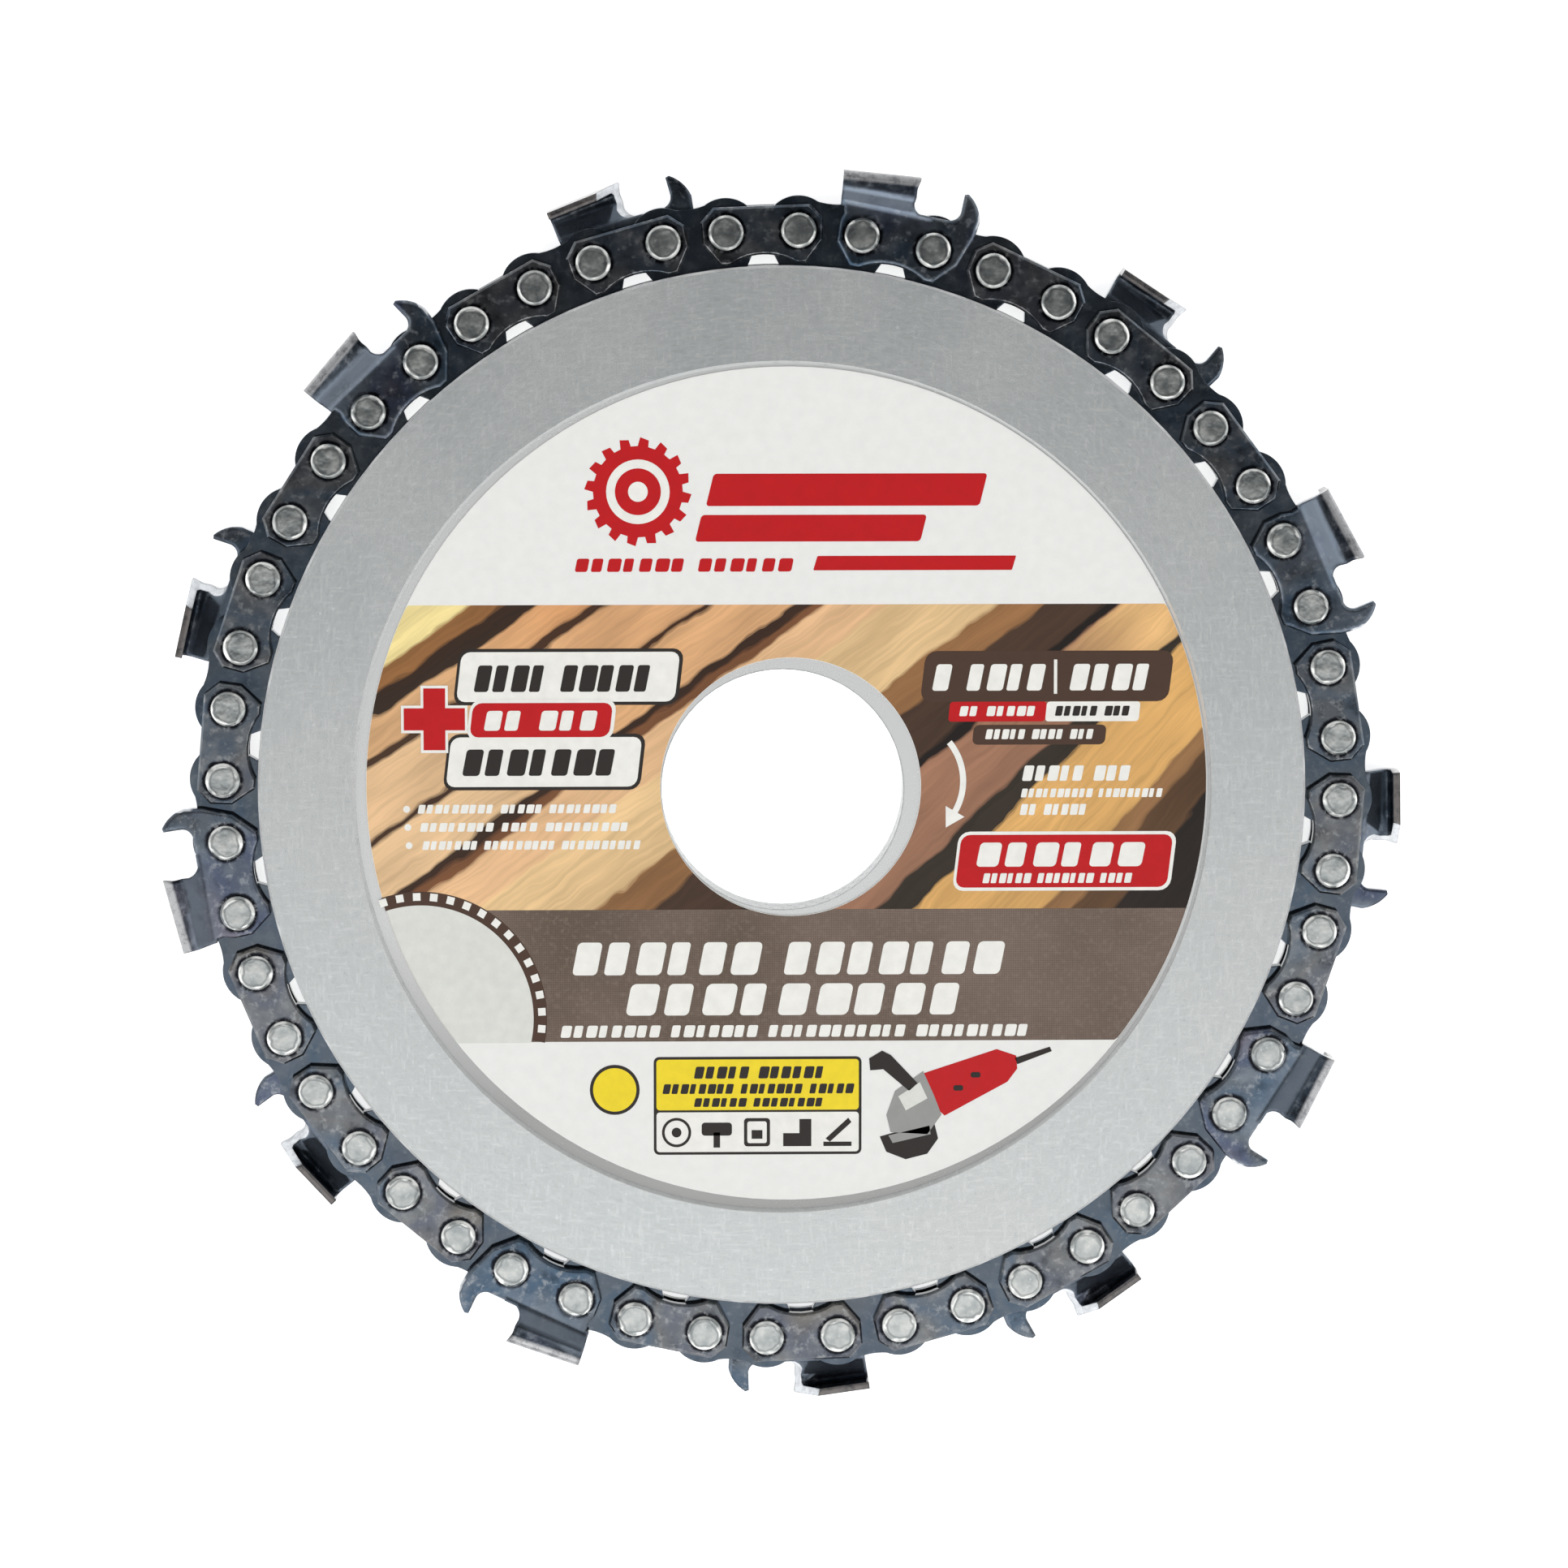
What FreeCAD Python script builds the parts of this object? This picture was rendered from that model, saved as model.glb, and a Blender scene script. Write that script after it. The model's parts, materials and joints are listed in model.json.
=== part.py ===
import FreeCAD, Part
import os
import Sketcher

# A carving disc for an angle grinder: a grooved metal disc, made of two plates on a spacer,
# with a closed loop of saw chain round its rim. Millimetres. +Z points out of the label side,
# and the origin is on the arbor axis in the back clamping face.

DIMENSIONS = [
    # disc body
    ("bore_radius", 11.115),
    ("disc_radius", 48.1),
    ("disc_thickness", 4.0),
    ("groove_width", 1.4),
    ("groove_depth", 4.6),
    ("recess_radius", 39.45),
    ("recess_depth", 0.5),
    ("recess_slope", 0.3),
    ("edge_bevel", 0.2),
    ("back_bevel", 0.3),
    # flush rivets through the plates
    ("plate_rivet_circle", 28.0),
    ("plate_rivet_count", 6),
    ("plate_rivet_radius", 1.9),
    ("plate_rivet_head_radius", 3.0),
    ("plate_rivet_head_depth", 0.9),
    ("rivet_gap", 0.03),
    # label
    ("label_radius", 38.6),
    ("label_hole_radius", 11.95),
    ("label_thickness", 0.12),
    ("label_shift_right", 0.4),
    ("label_shift_up", 0.3),
    ("label_hole_shift_right", 0.75),
    ("label_hole_shift_up", 0.25),
    # chain: two pitches of links on one pin circle
    ("pin_circle_radius", 51.3),
    ("outer_link_angle", 7.39),
    ("outer_link_count", 26),
    ("first_cutter_angle", 11.8),
    ("drive_link_thickness", 1.3),
    ("strap_thickness", 1.05),
    ("layer_gap", 0.04),
    # chain rivets
    ("hub_radius", 1.25),
    ("pin_radius", 0.95),
    ("rivet_head_radius", 1.6),
    ("rivet_head_height", 0.46),
    ("rivet_head_bevel", 0.22),
    ("pin_gap", 0.02),
    # tie strap outline
    ("strap_half_length", 5.6),
    ("strap_top", 2.31),
    ("strap_top_half", 4.4),
    ("strap_shoulder", 1.0),
    ("strap_foot", 2.98),
    ("strap_foot_half", 3.9),
    ("strap_foot_inner", 3.0),
    ("strap_arch", 2.1),
    ("strap_arch_radius", 5.5),
    ("strap_bevel", 0.2),
    # drive link outline
    ("lobe_radius", 3.1),
    ("shoulder_reach", 1.5),
    ("shoulder_drop", 3.3),
    ("tang_depth", 6.95),
    ("tang_tip_half", 0.45),
    ("tang_hook_radius", 5.5),
    # cutter
    ("cutter_height", 6.3),
    ("cutter_corner", 1.2),
    ("cutter_rear", 6.3),
    ("cutter_slope", 6.0),
    ("cutter_bulge", 2.88),
    ("cutter_taper", 1.2),
    ("cutter_wall", 1.0),
    ("top_plate_reach", 0.95),
    ("top_plate_thickness", 0.7),
    ("top_fold", 0.6),
    ("crease_height", 2.6),
    ("flare_top", 4.3),
    ("file_angle", 30.0),
    ("file_hook", 0.4),
    ("file_radius", 2.1),
    ("rear_lean", 0.6),
    ("gullet_floor", 2.92),
    ("gullet_end", 4.2),
    ("gauge_inner", 5.1),
    ("gauge_height", 5.6),
    ("gauge_outer", 6.95),
    ("gauge_back_radius", 3.4),
    ("gauge_hook_radius", 1.0),
]

# Sizes that follow from the driving dimensions, as expressions.
OUTER_HALF_PITCH = "(sheet.pin_circle_radius * sin(sheet.outer_link_angle / 2))"
OUTER_CHORD = "(sheet.pin_circle_radius * cos(sheet.outer_link_angle / 2))"
LINK_STEP = "(360 / sheet.outer_link_count)"
DRIVE_LINK_ANGLE = f"({LINK_STEP} - sheet.outer_link_angle)"
DRIVE_HALF_PITCH = f"(sheet.pin_circle_radius * sin({DRIVE_LINK_ANGLE} / 2))"
DRIVE_CHORD = f"(sheet.pin_circle_radius * cos({DRIVE_LINK_ANGLE} / 2))"
MID_HEIGHT = "(sheet.disc_thickness / 2)"
GROOVE_LOW = f"({MID_HEIGHT} - sheet.groove_width / 2)"
GROOVE_HIGH = f"({MID_HEIGHT} + sheet.groove_width / 2)"
GROOVE_FLOOR = "(sheet.disc_radius - sheet.groove_depth)"
RECESS_FLOOR = "(sheet.disc_thickness - sheet.recess_depth)"
STRAP_INNER = "(sheet.drive_link_thickness / 2 + sheet.layer_gap)"
STRAP_OUTER = f"({STRAP_INNER} + sheet.strap_thickness)"

# The blade's outward bend between the chassis and the flared side, as parts of its full width and height.
BLADE_BEND = [(0.12, 0.22), (0.45, 0.52), (0.80, 0.80), (0.97, 1.08)]

# The cutters in order round the disc: True where the side plate is on the label side.
LABEL_SIDE_CUTTERS = [True, False, True, False, True, False, False,
                      True, False, True, False, True, False]

doc = FreeCAD.newDocument("angle_grinder_carving_disc")
sheet = doc.addObject("Spreadsheet::Sheet", "sheet")
exported = []


def fill_sheet():
    for row, (alias, value) in enumerate(DIMENSIONS, start=1):
        sheet.set(f"A{row}", alias)
        sheet.set(f"B{row}", str(value))
        sheet.setAlias(f"B{row}", alias)
    doc.recompute()


def value_of(expression):
    return float(sheet.evalExpression(expression))


def size_of(alias):
    return float(sheet.get(alias))


# Sketches

def origin_feature(body, role):
    return next(item for item in body.Origin.OriginFeatures if item.Role == role)


def body_sketch(body, name, role):
    sketch = body.newObject("Sketcher::SketchObject", name)
    sketch.AttachmentSupport = (origin_feature(body, role), [""])
    sketch.MapMode = "FlatFace"
    return sketch


def bind(sketch, kind, geometry, expression, point=None):
    """Adds one driving constraint and ties its value to the expression."""
    reference = [geometry] if point is None else [geometry, point]
    constraint = Sketcher.Constraint(kind, *reference, value_of(expression))
    index = sketch.addConstraint(constraint)
    sketch.setExpression(f"Constraints[{index}]", expression)


def short_arc(start, end, radius):
    """The short anticlockwise arc from start to end."""
    along = end - start
    side = FreeCAD.Vector(along.y, -along.x, 0).normalize()
    height = radius - (radius ** 2 - (along.Length / 2) ** 2) ** 0.5
    return Part.Arc(start, (start + end) / 2 + side * height, end)


def add_outline(sketch, corners):
    """Closed outline, anticlockwise. Each corner is (x, y), or (x, y, radius) where an arc starts there,
    or (x, y, radius, "hollow") where that arc bends into the shape."""
    points = [FreeCAD.Vector(value_of(corner[0]), value_of(corner[1]), 0) for corner in corners]
    ends = []
    for number, corner in enumerate(corners):
        start = points[number]
        end = points[(number + 1) % len(points)]
        if len(corner) == 2:
            index = sketch.addGeometry(Part.LineSegment(start, end))
            ends.append((index, 1, 2))
            continue
        if len(corner) == 3:
            index = sketch.addGeometry(short_arc(start, end, value_of(corner[2])))
            ends.append((index, 1, 2))
        else:
            index = sketch.addGeometry(short_arc(end, start, value_of(corner[2])))
            ends.append((index, 2, 1))
    for number, corner in enumerate(corners):
        index, first, last = ends[number]
        following = ends[(number + 1) % len(corners)]
        sketch.addConstraint(Sketcher.Constraint("Coincident", index, last, following[0], following[1]))
        bind(sketch, "DistanceX", index, corner[0], first)
        bind(sketch, "DistanceY", index, corner[1], first)
        if len(corner) > 2:
            bind(sketch, "Radius", index, corner[2])


def add_circle(sketch, across, up, radius):
    centre = FreeCAD.Vector(value_of(across), value_of(up), 0)
    circle = Part.Circle(centre, FreeCAD.Vector(0, 0, 1), value_of(radius))
    index = sketch.addGeometry(circle)
    bind(sketch, "DistanceX", index, across, 3)
    bind(sketch, "DistanceY", index, up, 3)
    bind(sketch, "Radius", index, radius)


def upright_axis(sketch, across):
    """A construction line along the sketch's Y, for turning a profile about; returns its name."""
    start = FreeCAD.Vector(value_of(across), 0, 0)
    index = sketch.addGeometry(Part.LineSegment(start, start + FreeCAD.Vector(0, 1, 0)), True)
    sketch.addConstraint(Sketcher.Constraint("Vertical", index))
    bind(sketch, "DistanceX", index, across, 1)
    bind(sketch, "DistanceY", index, "0", 1)
    bind(sketch, "DistanceY", index, "1", 2)
    return "Axis0"


# Features

def new_body(name):
    return doc.addObject("PartDesign::Body", name)


def turn(body, name, corners):
    """Turns an outline in the XZ plane, as (radius, height) corners, about Z."""
    sketch = body_sketch(body, f"{name}_profile", "XZ_Plane")
    add_outline(sketch, corners)
    solid = body.newObject("PartDesign::Revolution", name)
    solid.Profile = sketch
    solid.ReferenceAxis = (sketch, ["V_Axis"])
    solid.Angle = 360
    body.Tip = solid
    return solid


def pad(body, name, corners, circles, thickness):
    """Thickens an outline in the XY plane, with round holes, along +Z."""
    sketch = body_sketch(body, f"{name}_outline", "XY_Plane")
    add_outline(sketch, corners)
    for circle in circles:
        add_circle(sketch, *circle)
    solid = body.newObject("PartDesign::Pad", name)
    solid.Profile = sketch
    solid.setExpression("Length", thickness)
    body.Tip = solid
    return solid


def bevel_faces(body, name, base, heights, size):
    """Bevels every edge of the flat faces that lie at the given heights."""
    doc.recompute()
    faces = []
    for number, face in enumerate(base.Shape.Faces, start=1):
        box = face.BoundBox
        if box.ZLength < 1e-6 and any(abs(box.ZMin - height) < 1e-6 for height in heights):
            faces.append(f"Face{number}")
    bevel = body.newObject("PartDesign::Chamfer", name)
    bevel.Base = (base, faces)
    bevel.setExpression("Size", size)
    body.Tip = bevel
    return bevel


def rivet_holes(body, name, corners):
    """Cuts a turned profile at each plate rivet, with corners as (distance from the rivet's axis, height)."""
    doc.recompute()
    before = body.Shape.Volume
    sketch = body_sketch(body, f"{name}_profile", "XZ_Plane")
    add_outline(sketch, [(f"sheet.plate_rivet_circle + {x}", y) for x, y in corners])
    groove = body.newObject("PartDesign::Groove", name)
    groove.Profile = sketch
    groove.ReferenceAxis = (sketch, [upright_axis(sketch, "sheet.plate_rivet_circle")])
    groove.Angle = 360
    pattern = body.newObject("PartDesign::PolarPattern", f"{name}_pattern")
    pattern.Originals = [groove]
    pattern.Axis = (origin_feature(body, "Z_Axis"), [""])
    pattern.Angle = 360
    pattern.setExpression("Occurrences", "sheet.plate_rivet_count")
    body.Tip = pattern
    doc.recompute()
    if body.Shape.Volume > before - size_of("plate_rivet_count"):
        raise RuntimeError(f"{name} removed too little")


def place(item, angle, chord, height):
    """Puts a chain piece, modelled about its own middle, at an angle clockwise from +Y, seen from +Z."""
    item.setExpression("Placement.Base.x", f"{chord} * sin({angle})")
    item.setExpression("Placement.Base.y", f"{chord} * cos({angle})")
    item.setExpression("Placement.Base.z", height)
    item.setExpression("Placement.Rotation.Angle", f"mod(720 - ({angle}); 360)")


def instance(name, sources):
    """A copy of one or more shapes, with a placement of its own."""
    item = doc.addObject("Part::Compound", name)
    item.Links = sources
    return item


def export_as(item, label):
    item.Label = label
    exported.append(item)
    return item


# Disc body

def make_front_plate():
    body = new_body("front_plate_body")
    turn(body, "front_plate_blank", [
        ("sheet.bore_radius", GROOVE_HIGH),
        ("sheet.disc_radius", GROOVE_HIGH),
        ("sheet.disc_radius", "sheet.disc_thickness - sheet.edge_bevel"),
        ("sheet.disc_radius - sheet.edge_bevel", "sheet.disc_thickness"),
        ("sheet.recess_radius", "sheet.disc_thickness"),
        ("sheet.recess_radius - sheet.recess_slope", RECESS_FLOOR),
        ("sheet.bore_radius", RECESS_FLOOR),
    ])
    hole = "(sheet.plate_rivet_radius + sheet.rivet_gap)"
    rivet_holes(body, "front_plate_holes", [
        ("0", GROOVE_HIGH),
        (hole, GROOVE_HIGH),
        (hole, RECESS_FLOOR),
        ("0", RECESS_FLOOR),
    ])
    export_as(body, "front_plate")


def make_back_plate():
    body = new_body("back_plate_body")
    turn(body, "back_plate_blank", [
        ("sheet.bore_radius", "0"),
        ("sheet.disc_radius - sheet.back_bevel", "0"),
        ("sheet.disc_radius", "sheet.back_bevel"),
        ("sheet.disc_radius", GROOVE_LOW),
        ("sheet.bore_radius", GROOVE_LOW),
    ])
    hole = "(sheet.plate_rivet_radius + sheet.rivet_gap)"
    head = "(sheet.plate_rivet_head_radius + sheet.rivet_gap)"
    rivet_holes(body, "back_plate_holes", [
        ("0", "0"),
        (head, "0"),
        (hole, "sheet.plate_rivet_head_depth + sheet.rivet_gap"),
        (hole, GROOVE_LOW),
        ("0", GROOVE_LOW),
    ])
    export_as(body, "back_plate")


def make_spacer():
    body = new_body("spacer_body")
    turn(body, "spacer_blank", [
        ("sheet.bore_radius", GROOVE_LOW),
        (GROOVE_FLOOR, GROOVE_LOW),
        (GROOVE_FLOOR, GROOVE_HIGH),
        ("sheet.bore_radius", GROOVE_HIGH),
    ])
    hole = "(sheet.plate_rivet_radius + sheet.rivet_gap)"
    rivet_holes(body, "spacer_holes", [
        ("0", GROOVE_LOW),
        (hole, GROOVE_LOW),
        (hole, GROOVE_HIGH),
        ("0", GROOVE_HIGH),
    ])
    export_as(body, "spacer_disc")


def make_plate_rivets():
    body = new_body("plate_rivet_body")
    turn(body, "plate_rivet", [
        ("0", "0"),
        ("sheet.plate_rivet_head_radius", "0"),
        ("sheet.plate_rivet_radius", "sheet.plate_rivet_head_depth"),
        ("sheet.plate_rivet_radius", RECESS_FLOOR),
        ("0", RECESS_FLOOR),
    ])
    rivets = []
    for number in range(int(size_of("plate_rivet_count"))):
        rivet = instance(f"plate_rivet_{number + 1}", [body])
        place(rivet, f"(90 + {number} * 360 / sheet.plate_rivet_count)", "sheet.plate_rivet_circle", "0")
        rivets.append(rivet)
    export_as(instance("plate_rivet_set", rivets), "plate_rivets")


def make_label():
    body = new_body("label_body")
    sketch = body_sketch(body, "label_outline", "XY_Plane")
    add_circle(sketch, "sheet.label_shift_right", "sheet.label_shift_up", "sheet.label_radius")
    add_circle(sketch, "sheet.label_hole_shift_right", "sheet.label_hole_shift_up", "sheet.label_hole_radius")
    sheet_of_label = body.newObject("PartDesign::Pad", "label_pad")
    sheet_of_label.Profile = sketch
    sheet_of_label.setExpression("Length", "sheet.label_thickness")
    body.Tip = sheet_of_label
    body.setExpression("Placement.Base.z", RECESS_FLOOR)
    export_as(body, "label")


# Chain: every master shape has its two rivets on its X axis, with +X the way the chain cuts and +Y outwards

def link_holes(half_pitch, radius):
    return [(f"-{half_pitch}", "0", radius), (half_pitch, "0", radius)]


def chassis_foot():
    """The lower edge that straps and cutters share, from the rear foot to the front foot."""
    return [
        ("-sheet.strap_foot_half", "-sheet.strap_foot"),
        ("-sheet.strap_foot_inner", "-sheet.strap_foot", "sheet.strap_arch_radius", "hollow"),
        ("0", "-sheet.strap_arch", "sheet.strap_arch_radius", "hollow"),
        ("sheet.strap_foot_inner", "-sheet.strap_foot"),
        ("sheet.strap_foot_half", "-sheet.strap_foot"),
    ]


def make_strap_master():
    body = new_body("strap_master")
    blank = pad(body, "strap_pad", chassis_foot() + [
        ("sheet.strap_half_length - 0.1", "-sheet.strap_shoulder"),
        ("sheet.strap_half_length", "sheet.strap_shoulder"),
        ("sheet.strap_top_half", "sheet.strap_top"),
        ("-sheet.strap_top_half", "sheet.strap_top"),
        ("-sheet.strap_half_length", "sheet.strap_shoulder"),
        ("-sheet.strap_half_length + 0.1", "-sheet.strap_shoulder"),
    ], link_holes(OUTER_HALF_PITCH, "sheet.pin_radius + sheet.pin_gap"), "sheet.strap_thickness")
    bevel_faces(body, "strap_bevel_edges", blank, [size_of("strap_thickness")], "sheet.strap_bevel")
    body.setExpression("Placement.Base.z", STRAP_INNER)
    return body


def turned_to_back(name, master):
    """The same strap on the far side of the chain, turned over about its upright axis."""
    strap = instance(name, [master])
    strap.Placement = FreeCAD.Placement(FreeCAD.Vector(), FreeCAD.Rotation(FreeCAD.Vector(0, 1, 0), 180))
    return strap


def make_drive_link_master():
    body = new_body("drive_link_master")
    upper_x = "(sheet.lobe_radius * cos(60))"
    upper_y = "(sheet.lobe_radius * sin(60))"
    lower = "(sheet.lobe_radius * cos(45))"
    pad(body, "drive_link_pad", [
        (f"-{DRIVE_HALF_PITCH} - {lower}", f"-{lower}"),
        (f"-{DRIVE_HALF_PITCH} - sheet.shoulder_reach", "-sheet.shoulder_drop"),
        ("-sheet.tang_tip_half", "-sheet.tang_depth + 0.1", "sheet.tang_tip_half * 1.2"),
        ("sheet.tang_tip_half * 0.9", "-sheet.tang_depth + 0.25", "sheet.tang_hook_radius", "hollow"),
        (f"{DRIVE_HALF_PITCH} + sheet.shoulder_reach", "-sheet.shoulder_drop"),
        (f"{DRIVE_HALF_PITCH} + {lower}", f"-{lower}", "sheet.lobe_radius"),
        (f"{DRIVE_HALF_PITCH} + sheet.lobe_radius", "0", "sheet.lobe_radius"),
        (f"{DRIVE_HALF_PITCH} - {upper_x}", upper_y, "sheet.lobe_radius * 2", "hollow"),
        (f"-{DRIVE_HALF_PITCH} + {upper_x}", upper_y, "sheet.lobe_radius"),
        (f"-{DRIVE_HALF_PITCH} - sheet.lobe_radius", "0", "sheet.lobe_radius"),
    ], link_holes(DRIVE_HALF_PITCH, "sheet.hub_radius + sheet.pin_gap"), "sheet.drive_link_thickness")
    return body


def make_chain_rivet_master():
    """A stepped rivet: a hub that the drive link turns on, and a pin with a head at each end."""
    body = new_body("chain_rivet_master")
    hub = f"({STRAP_INNER} - sheet.pin_gap)"
    seat = f"({STRAP_OUTER} + sheet.pin_gap)"
    head = f"({seat} + sheet.rivet_head_height)"
    upper = [
        ("sheet.hub_radius", hub),
        ("sheet.pin_radius", hub),
        ("sheet.pin_radius", seat),
        ("sheet.rivet_head_radius", seat),
        ("sheet.rivet_head_radius", f"{head} - sheet.rivet_head_bevel"),
        ("sheet.rivet_head_radius - sheet.rivet_head_bevel", head),
        ("0", head),
    ]
    lower = [(x, f"-({y})") for x, y in reversed(upper)]
    turn(body, "chain_rivet", lower + upper)
    return body


# Cutter: a flat chassis with the depth gauge, and a side plate that flares out and folds over into the top plate

def make_cutter_chassis():
    body = new_body("cutter_chassis")
    blank = pad(body, "chassis_pad", chassis_foot() + [
        ("sheet.gauge_outer - 1.15", "-sheet.strap_shoulder"),
        ("sheet.gauge_outer - 0.2", "sheet.crease_height - 0.9"),
        ("sheet.gauge_outer", "sheet.crease_height + 0.7", "sheet.gauge_back_radius"),
        ("sheet.gauge_inner + 0.35", "sheet.gauge_height"),
        ("sheet.gauge_inner", "sheet.gauge_height - 0.1"),
        ("sheet.gauge_inner", "sheet.gullet_floor + 0.9", "sheet.gauge_hook_radius", "hollow"),
        ("sheet.gullet_end", "sheet.gullet_floor"),
        ("-sheet.strap_half_length", "sheet.gullet_floor"),
        ("-sheet.strap_half_length + 0.25", "sheet.strap_shoulder + 0.6"),
        ("-sheet.strap_half_length", "sheet.strap_shoulder - 0.3"),
        ("-sheet.strap_half_length + 0.1", "-sheet.strap_shoulder"),
    ], link_holes(OUTER_HALF_PITCH, "sheet.pin_radius + sheet.pin_gap"), "sheet.strap_thickness")
    bevel_faces(body, "chassis_edges", blank, [size_of("strap_thickness")], "sheet.strap_bevel")
    body.setExpression("Placement.Base.z", STRAP_INNER)
    return body


def blade_section(name, along):
    """Closed section of the folded blade, across the chain at a distance along it from the link's middle.
    Its X is the distance out to the blade's side and its Y is outwards."""
    fall = f"((sheet.cutter_corner - ({along})) * tan(sheet.cutter_slope))"
    narrow = f"((sheet.cutter_corner - ({along})) * tan(sheet.cutter_taper))"
    top = f"(sheet.cutter_height - {fall})"
    outside = f"(sheet.cutter_bulge - {narrow})"
    flare = f"(sheet.flare_top - {fall} * 0.5)"
    under = f"({top} - sheet.top_plate_thickness)"
    inside = f"({outside} - sheet.cutter_wall)"
    bend = [
        (f"{STRAP_OUTER} + ({outside} - {STRAP_OUTER}) * {out}",
         f"sheet.crease_height + ({flare} - sheet.crease_height) * {up}")
        for out, up in BLADE_BEND
    ]
    fold = [
        (f"{outside} - sheet.top_fold * (1 - cos({angle}))", f"{top} - sheet.top_fold * (1 - sin({angle}))")
        for angle in (0, 30, 60, 90)
    ]
    sketch = doc.addObject("Sketcher::SketchObject", name)
    facing = FreeCAD.Rotation(FreeCAD.Vector(0, 0, 1), FreeCAD.Vector(0, 1, 0), FreeCAD.Vector(-1, 0, 0))
    sketch.Placement = FreeCAD.Placement(FreeCAD.Vector(), facing)
    sketch.setExpression("Placement.Base.x", along)
    add_outline(sketch, [
        (STRAP_INNER, "sheet.strap_top"),
        (STRAP_OUTER, "sheet.strap_top"),
        (STRAP_OUTER, "sheet.crease_height"),
    ] + bend + fold + [
        ("-sheet.top_plate_reach", f"{top} - 0.1"),
        ("-sheet.top_plate_reach", f"{under} - 0.05"),
        (f"{inside} - 0.3", under),
        (inside, f"{under} - 0.3"),
        (f"{inside} - 0.05", f"{flare} + 0.2"),
        (STRAP_INNER, "sheet.crease_height + 0.2"),
    ])
    return sketch


def profile_bar(name, corners, start, sideways, length):
    """A bar with an outline in the XY plane, from a height along a slanted direction."""
    sketch = doc.addObject("Sketcher::SketchObject", f"{name}_outline")
    sketch.setExpression("Placement.Base.z", start)
    add_outline(sketch, corners)
    bar = doc.addObject("Part::Extrusion", name)
    bar.Base = sketch
    bar.DirMode = "Custom"
    bar.setExpression("Dir.x", f"-sin({sideways})")
    bar.setExpression("Dir.y", "0")
    bar.setExpression("Dir.z", f"-cos({sideways})")
    bar.LengthFwd = length
    bar.Solid = True
    return bar


def make_cutter_master():
    """The cutter whose side plate is on the label side."""
    rear = "(-sheet.cutter_rear - 0.4)"
    ahead = "(sheet.cutter_corner + 1.4)"
    blade = doc.addObject("Part::Loft", "blade_blank")
    blade.Sections = [blade_section("blade_rear_section", rear), blade_section("blade_front_section", ahead)]
    blade.Solid = True
    blade.Ruled = True
    clear = "(sheet.cutter_height + 2)"
    edge = "(sheet.cutter_corner - sheet.file_hook)"
    file_cut = profile_bar("file_cut", [
        (f"{edge} + 1.3", "sheet.gullet_floor"),
        ("sheet.gauge_inner", "sheet.gullet_floor"),
        ("sheet.gauge_inner", clear),
        ("sheet.cutter_corner + sheet.file_hook", clear),
        ("sheet.cutter_corner", "sheet.cutter_height", "sheet.file_radius"),
        (edge, "sheet.cutter_height - 1.3"),
        (f"{edge} + 0.15", "sheet.gullet_floor + 0.95", "sheet.file_radius"),
    ], "sheet.cutter_bulge + 0.1", "sheet.file_angle", 6)
    rear_cut = profile_bar("rear_cut", [
        ("-sheet.cutter_rear - 3", "0"),
        ("-sheet.cutter_rear + sheet.rear_lean * 1.4", "0"),
        ("-sheet.cutter_rear - sheet.rear_lean * 0.35", clear),
        ("-sheet.cutter_rear - 3", clear),
    ], "sheet.cutter_bulge + 1", "0", 6)
    trimmed = doc.addObject("Part::Cut", "blade_trimmed")
    trimmed.Base = blade
    trimmed.Tool = rear_cut
    blank = doc.addObject("Part::MultiFuse", "cutter_blank")
    blank.Shapes = [make_cutter_chassis(), trimmed]
    cutter = doc.addObject("Part::Cut", "cutter_master")
    cutter.Base = blank
    cutter.Tool = file_cut
    cutter.Refine = True
    return cutter


def mirrored(name, source):
    copy = doc.addObject("Part::Mirroring", name)
    copy.Source = source
    copy.Normal = FreeCAD.Vector(0, 0, 1)
    return copy


def make_chain():
    strap = make_strap_master()
    far_strap = turned_to_back("strap_far_master", strap)
    strap_pair = instance("strap_pair_master", [strap, far_strap])
    right_cutter = make_cutter_master()
    left_cutter = mirrored("left_cutter_master", right_cutter)
    cutter_straps = []
    right_total = 0
    left_total = 0
    for number, on_label_side in enumerate(LABEL_SIDE_CUTTERS):
        cutter_angle = f"(sheet.first_cutter_angle + {2 * number} * {LINK_STEP})"
        strap_angle = f"(sheet.first_cutter_angle + {2 * number + 1} * {LINK_STEP})"
        if on_label_side:
            right_total += 1
            label = f"cutter_right_{right_total:02d}"
        else:
            left_total += 1
            label = f"cutter_left_{left_total:02d}"
        cutter = instance(f"{label}_item", [right_cutter if on_label_side else left_cutter])
        place(cutter, cutter_angle, OUTER_CHORD, MID_HEIGHT)
        export_as(cutter, label)
        opposite = instance(f"opposite_strap_{number + 1}", [far_strap if on_label_side else strap])
        place(opposite, cutter_angle, OUTER_CHORD, MID_HEIGHT)
        cutter_straps.append(opposite)
        pair = instance(f"strap_pair_{number + 1}", [strap_pair])
        place(pair, strap_angle, OUTER_CHORD, MID_HEIGHT)
        export_as(pair, f"tie_straps_{number + 1:02d}")
    export_as(instance("opposite_straps", cutter_straps), "cutter_tie_straps")
    make_drive_links()
    make_chain_rivets()


def make_drive_links():
    master = make_drive_link_master()
    low = f"({MID_HEIGHT} - sheet.drive_link_thickness / 2)"
    for number in range(int(size_of("outer_link_count"))):
        link = instance(f"drive_link_{number + 1}", [master])
        place(link, f"(sheet.first_cutter_angle + {number + 0.5} * {LINK_STEP})", DRIVE_CHORD, low)
        export_as(link, f"drive_link_{number + 1:02d}")


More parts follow.
